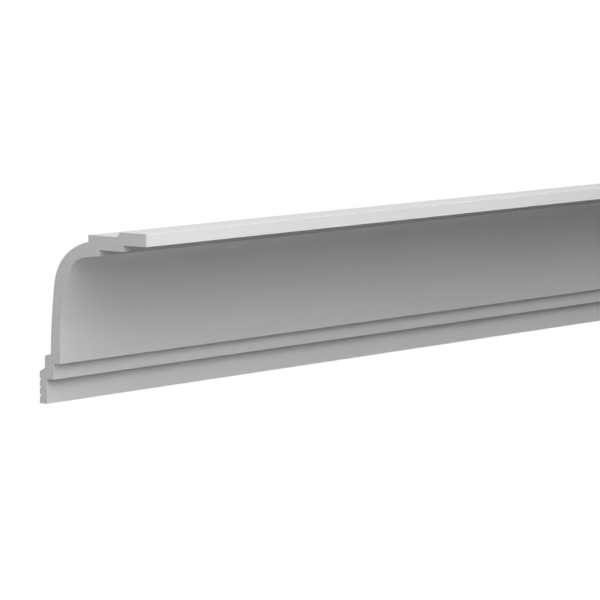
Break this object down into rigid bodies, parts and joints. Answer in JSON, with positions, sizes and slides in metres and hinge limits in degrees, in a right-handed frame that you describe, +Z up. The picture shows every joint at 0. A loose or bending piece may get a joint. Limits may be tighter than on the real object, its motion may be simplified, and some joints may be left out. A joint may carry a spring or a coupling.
{
  "type": "cornice moulding length",
  "caption": "Straight length of plain ceiling cornice: a tall cove between stepped edges, with a grooved glue face for the wall and a flat one for the ceiling.",
  "frame": {"origin": "on the wall face, half way along the length, on the land between the lowest two glue grooves, 7.5 mm above the bottom edge", "axes": "+X along the length, +Y out of the wall face into the wall, so the room is on the -Y side, +Z up towards the ceiling"},
  "size_m": [1, 0.089, 0.11],
  "materials": {
    "primed_foam": "factory white primer on hard foamed polymer, dead matt and very finely grained, bare on the sawn ends"
  },
  "bodies": {
    "root": {"cornice_length": "primed_foam"}
  },
  "joints": []
}
